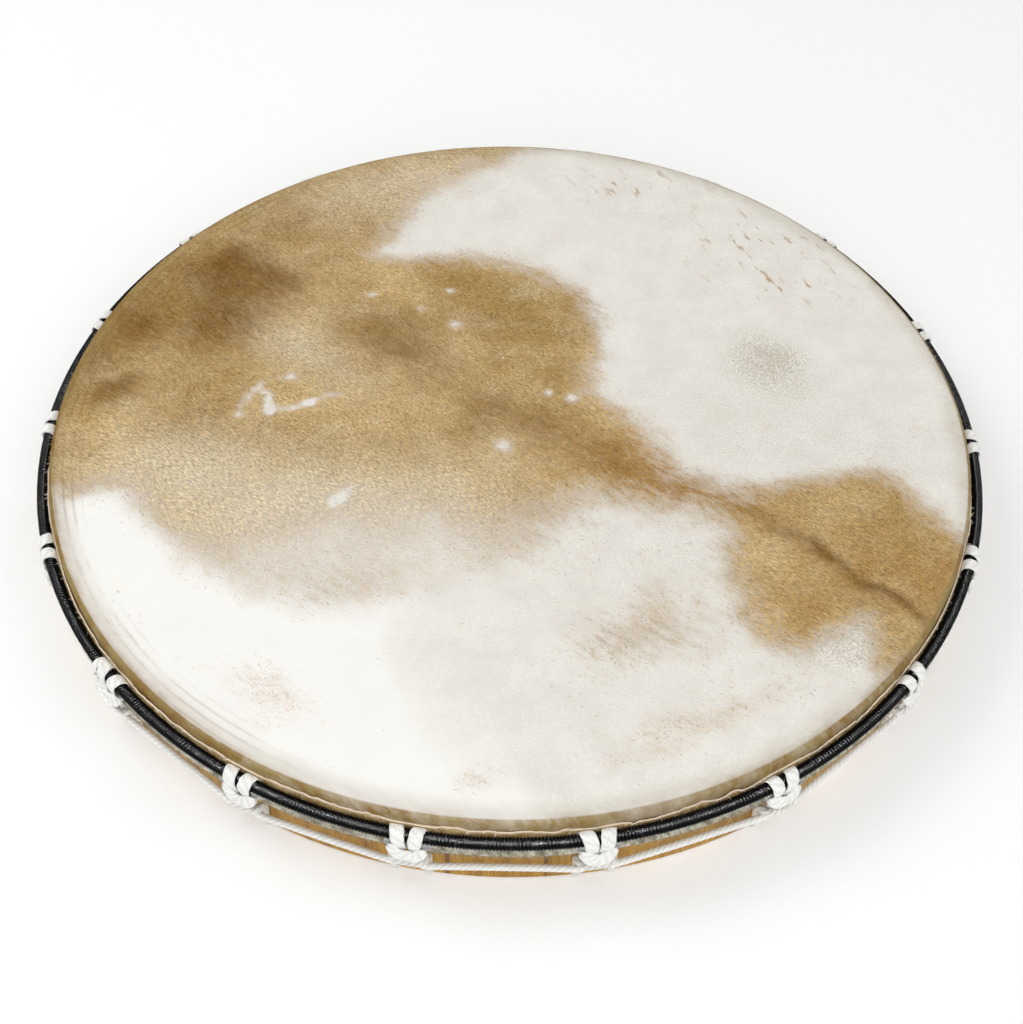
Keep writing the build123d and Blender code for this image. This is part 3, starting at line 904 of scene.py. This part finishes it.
# One strand of a hitch from the middle of its cross bar to the span:
# (r, side, z), the direction away from what it lies on (r, z), width and thickness
STRAND = [
    ((311.2, 0.0, 36.2), (1.0, 0.0), 9.6, 3.2),
    ((310.9, 5.0, 37.9), (1.0, 0.1), 9.0, 3.0),
    ((309.6, 8.9, 42.4), (1.0, -0.3), 7.4, 2.6),
    ((305.9, 9.6, 44.5), (0.1, -1.0), 6.8, 1.6),
    ((302.8, 8.8, 45.8), (-0.7, -0.7), 7.0, 1.1),
    ((301.4, 7.6, 49.6), (-1.0, 0.0), 7.4, 1.0),
    ((302.5, 6.6, 53.2), (-0.7, 0.7), 7.8, 1.3),
    ((305.8, 5.7, 54.4), (0.0, 1.0), 8.0, 2.0),
    ((309.0, 5.1, 53.1), (0.7, 0.7), 8.0, 2.0),
    ((310.4, 4.7, 49.6), (1.0, 0.0), 7.8, 2.0),
    ((309.8, 4.2, 45.5), (1.0, -0.2), 7.2, 2.0),
    ((308.6, 3.8, 41.0), (1.0, -0.1), 6.6, 1.9),
    ((308.3, 3.7, 36.5), (1.0, 0.0), 6.0, 1.9),
    ((306.7, 4.1, 31.0), (1.0, -0.2), 5.2, 2.4),
    ((304.6, 4.9, 25.5), (1.0, 0.0), 4.5, 3.9),
    ((306.5, 7.0, 22.0), (1.0, 0.3), 4.2, 4.2),
    ((307.2, 10.5, 21.3), (1.0, 0.0), 4.2, 4.2),
]


# The knot of the rope's end, over the start hitch (r, side, z)
KNOT = [(309.4, -15.0, 42.0), (311.0, -12.5, 37.0), (312.2, -7.0, 33.0), (312.6, -1.0, 31.5),
        (311.6, 5.0, 30.0), (309.6, 8.5, 27.5), (308.0, 6.5, 23.0), (309.3, 0.5, 21.5),
        (311.2, -5.0, 24.5), (311.8, -9.5, 29.5), (311.6, -13.5, 31.0)]


def hitch_strand(reach, jitter):
    """The strand's curve, normals and sizes, its outer loop moved out by reach."""
    points = np.array([p for p, *_ in STRAND])
    loop = np.interp(np.arange(len(STRAND)), (0, 1, 2, 12, 13, 14, 15), (0, 0.6, 1, 1, 0.8, 0.4, 0))
    points[:, 1] += loop * reach
    points[1:4, 1:] += jitter[0]
    points[8:13, 1] += jitter[1]
    normals = np.array([(a, 0, b) for _, (a, b), *_ in STRAND])
    sizes = np.array([(w, t) for *_, w, t in STRAND])
    return points, normals, sizes


def make_hitch(k, finish):
    """A cow hitch: two flattened turns on the crown ring, held by the bight across their front."""
    start = k + 1 == START_HITCH
    sides = []
    for side in (-1, 1):
        reach = EXTRA_TURN if start and side < 0 else 0.0
        sides.append(hitch_strand(reach * 0.3, (rng.normal(0, 0.35, 2), rng.normal(0, 0.25))))
    left, right = sides
    flip = np.array([1, -1, 1])
    middle = (left[0][0] + right[0][0]) / 2 + (0, 0, rng.normal(0, 0.4))
    line = np.vstack([left[0][:0:-1] * flip, middle, right[0][1:]])
    normals = np.vstack([left[1][:0:-1] * flip, right[1]])
    sizes = np.vstack([left[2][:0:-1], right[2]]) * rng.normal(1.0, 0.03)
    meshes = [pressed_rope(line, normals, sizes, 10, step=0.55, sides=28, phase=rng.uniform(0, 6),
                           depth=0.06)]
    if start:
        meshes += extra_turns()
    meshes = [(turned(points, hitch_azimuth(k)), faces, lay) for points, faces, lay in meshes]
    number = f"{k + 1:02d}"
    return rope_piece(f"white_hitch_{number}", meshes, finish, f"hitch_{number}")


def extra_turns():
    """The start hitch's extra turn beside the left one, and the knot that holds the rope's end."""
    angles = np.linspace(0, 2 * pi, 16, endpoint=False)
    thick = 1.5 + 0.5 * np.cos(angles - 0.5)
    out = WRAPPED_R + 0.05 + thick / 2
    side = -12.6 - 0.8 * np.cos(angles)
    line = np.stack([CROWN_R + out * np.cos(angles), side, CROWN_Z + out * np.sin(angles)], 1)
    normals = np.stack([np.cos(angles), 0 * angles, np.sin(angles)], 1)
    sizes = np.stack([0 * angles + 5.0, thick], 1)
    turn = pressed_rope(line, normals, sizes, 8, step=0.6, closed=True)
    knot = curve_through(KNOT, 10)
    return [turn, round_rope(knot, (4.3, 3.0), step=0.6, lay=12.0, depth=0.14)]


SPAN_START = [(306.2, 6.5, 23.0), (307.2, 10.5, 22.2)]     # how a span leaves its hitch (r, side, z)


def make_spans(finish):
    """The loop rope's straight stretches, each a little different in height and sag."""
    meshes = []
    for k in range(HITCHES):
        here, there = hitch_azimuth(k), hitch_azimuth(k + 1)
        low = SPAN_DROPS[k]
        leaving = turned(SPAN_START, here)
        arriving = turned([(r, -side, z) for r, side, z in reversed(SPAN_START)], there)
        middle = (leaving[1] + arriving[0]) / 2 - (0, 0, low)
        quarter = [(leaving[1] * (1 - t) + arriving[0] * t) - (0, 0, low * 0.72) for t in (0.27, 0.73)]
        line = curve_through([*leaving, quarter[0], middle, quarter[1], *arriving], 10)
        meshes.append(round_rope(line, 2 * ROPE_R, lay=11.5, phase=k * 1.3, depth=0.12))
    return rope_piece("white_loop_rope", meshes, finish, "loop_rope_spans")


SPAN_DROPS = rng.uniform(0.0, 1.2, HITCHES)


def taut(points, bend):
    """A pulled-tight route: straight runs whose corners curve within bend of each point."""
    points = np.asarray(points, float)
    line = [points[0]]
    for a, b, c in zip(points, points[1:], points[2:]):
        into, out = a - b, c - b
        near = min(bend, 0.48 * np.linalg.norm(into))
        far = min(bend, 0.48 * np.linalg.norm(out))
        first, last = b + unit(into) * near, b + unit(out) * far
        for t in np.linspace(0, 1, 7):
            line.append((1 - t) ** 2 * first + 2 * t * (1 - t) * b + t ** 2 * last)
    return np.array([*line, points[-1]])


def tension_route(k):
    """From the hand ring over the bottom edge, hooked on a hitch, and back, as in part.py."""
    azimuth = hitch_azimuth(k)
    before, after = (hitch_azimuth(k - 1) + azimuth) / 2, (azimuth + hitch_azimuth(k + 1)) / 2
    inner = HAND_R - TURN_R
    hook = [(LEG_R, LEG_SIDE, EDGE_Z), (LEG_R, LEG_SIDE + LEG_LEAN, HOOK_Z), (HOOK_R, LEG_SIDE - 0.6, HOOK_Z)]
    return np.vstack([
        polar(before, inner, HAND_Z),
        polar(before, inner, HAND_Z + TURN_R),
        polar(azimuth - LEG_ANGLE, SPOKE_END, EDGE_Z),
        turned([(r, -side, z) for r, side, z in hook], azimuth),
        turned([(r, side, z) for r, side, z in reversed(hook)], azimuth),
        polar(azimuth + LEG_ANGLE, SPOKE_END, EDGE_Z),
        polar(after, inner, HAND_Z - TURN_R),
        polar(after, inner, HAND_Z),
    ])


def make_tension_rope(k, finish):
    """One bight of the tension rope."""
    line = taut(tension_route(k), 5.0)
    mesh = round_rope(line, 2 * ROPE_R, step=1.3, sides=18, lay=11.5, phase=k * 0.9, depth=0.16)
    number = f"{k + 1:02d}"
    return rope_piece(f"white_tension_rope_{number}", [mesh], finish, f"tension_rope_{number}")


def make_lashing(finish):
    """The rope's own end, wound round a spoke beside the hand ring and tucked under its last turn."""
    route = tension_route(START_HITCH - 1)
    along = unit(route[2] - route[1])
    side = unit(np.cross(along, (0, 0, 1)))
    up = np.cross(side, along)
    turns = 3.4
    t = np.linspace(0, 1, 90)[:, None]
    angle = 2 * pi * turns * t
    reach = TIE_START + ROPE_R + (TIE_LENGTH - 2 * ROPE_R) * t
    line = route[1] + along * reach + 2 * ROPE_R * (side * np.cos(angle) + up * np.sin(angle))
    mesh = round_rope(line, 2 * ROPE_R - 0.1, step=0.9, sides=20, lay=11.5, depth=0.15)
    return rope_piece("white_rope_lashing", [mesh], finish, "rope_lashing")


# Camera, light and floor --------

CAMERA_LENS = 58.0
CAMERA_ELEVATION = 49.2
CAMERA_ROLL = -1.0        # degrees
CAMERA_TARGET = Vector((0.0013, -0.0773, 0.062))
CAMERA_REACH = 1.0379     # metres from the camera to its target


def make_camera():
    """The camera, looking down at the drum from the front."""
    data = bpy.data.cameras.new("camera")
    data.lens = CAMERA_LENS
    data.sensor_width = 36.0
    camera = placed("camera", data)
    tilt, roll = radians(CAMERA_ELEVATION), radians(CAMERA_ROLL)
    forward = Vector((0, cos(tilt), -sin(tilt)))
    right = Vector((1, 0, 0))
    up = right.cross(forward)
    across, above = right * cos(roll) - up * sin(roll), right * sin(roll) + up * cos(roll)
    turn = Matrix((across, above, -forward)).transposed().to_4x4()
    camera.matrix_world = Matrix.Translation(CAMERA_TARGET - forward * CAMERA_REACH) @ turn
    bpy.context.scene.camera = camera


def make_light(name, place, size, watts, aim=(0, 0, 0.04), length=None):
    """A soft area light aimed at a point."""
    data = bpy.data.lights.new(name, "AREA")
    data.energy = watts
    data.size = size
    if length:
        data.shape = "RECTANGLE"
        data.size_y = length
    light = placed(name, data)
    light.location = place
    light.rotation_euler = (Vector(aim) - Vector(place)).to_track_quat("-Z", "Y").to_euler()
    return light


WORLD_LIGHT = 0.61
FLOOR_SIDE = 8.0          # metres
FLOOR_Z = -0.0005         # metres, just below the drum
GLINT_REACH = 1.5         # metres from the drum to the small lamps
# Small hard lamps that only show as glints in the waxed cord: elevation, azimuth from the front, watts
GLINTS = [(20, 0, 15), (47, 0, 150), (76, 0, 90), (47, -60, 70), (47, 60, 70), (20, -60, 30), (20, 60, 20)]


def make_studio():
    """A pale floor under an even white studio."""
    bpy.context.scene.view_settings.view_transform = "Standard"
    world = bpy.data.worlds.new("studio")
    world.use_nodes = True
    world.node_tree.nodes["Background"].inputs[0].default_value = (1, 1, 1, 1)
    world.node_tree.nodes["Background"].inputs[1].default_value = WORLD_LIGHT
    bpy.context.scene.world = world
    make_light("key", (-1.2, 0.3, 1.6), 1.1, 11.5)
    make_light("fill", (1.1, -0.7, 1.5), 1.2, 4)
    make_light("front", (0.1, -1.6, 1.0), 0.8, 6.5)
    for elevation, azimuth, watts in GLINTS:
        level, height = GLINT_REACH * cos(radians(elevation)), GLINT_REACH * sin(radians(elevation))
        place = (level * sin(radians(azimuth)), -level * cos(radians(azimuth)), 0.05 + height)
        glint = make_light("glint", place, 0.25, watts, aim=(0, -0.1, 0.04), length=0.1)
        glint.visible_diffuse = False
    floor = bpy.data.meshes.new("floor")
    half = FLOOR_SIDE / 2
    corners = [(x * half, y * half, FLOOR_Z) for x, y in ((-1, -1), (1, -1), (1, 1), (-1, 1))]
    floor.from_pydata(corners, [], [(0, 1, 2, 3)])
    floor.materials.append(floor_finish())
    placed("floor", floor)


def dress_frame():
    """Finishes for the CAD nodes that show as they are."""
    steel = steel_finish()
    finishes = {"shell": wood_finish(), "flesh_hoop": steel, "crown_ring": steel, "hand_ring": steel}
    for node, finish in finishes.items():
        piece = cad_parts[node]
        if not piece.data.materials:
            piece.data.materials.append(finish)
        for slot in piece.material_slots:
            slot.material = finish


make_camera()
make_studio()
dress_frame()
make_head()
make_coat_hair()
make_edge_hair()
black = whipping_finish()
make_whipping("black_crown_whipping", "crown_ring_wrap", CROWN_R, CROWN_Z, black)
make_whipping("black_hand_whipping", "hand_ring_wrap", HAND_R, HAND_Z, black)
loop_white = rope_finish("loop_rope_white", (252, 252, 250), (238, 238, 234), 0.12)
tension_white = rope_finish("tension_rope_white", (244, 244, 240), (222, 220, 213), 0.3)
for hitch in range(HITCHES):
    make_hitch(hitch, loop_white)
    make_tension_rope(hitch, tension_white)
make_spans(loop_white)
make_lashing(tension_white)
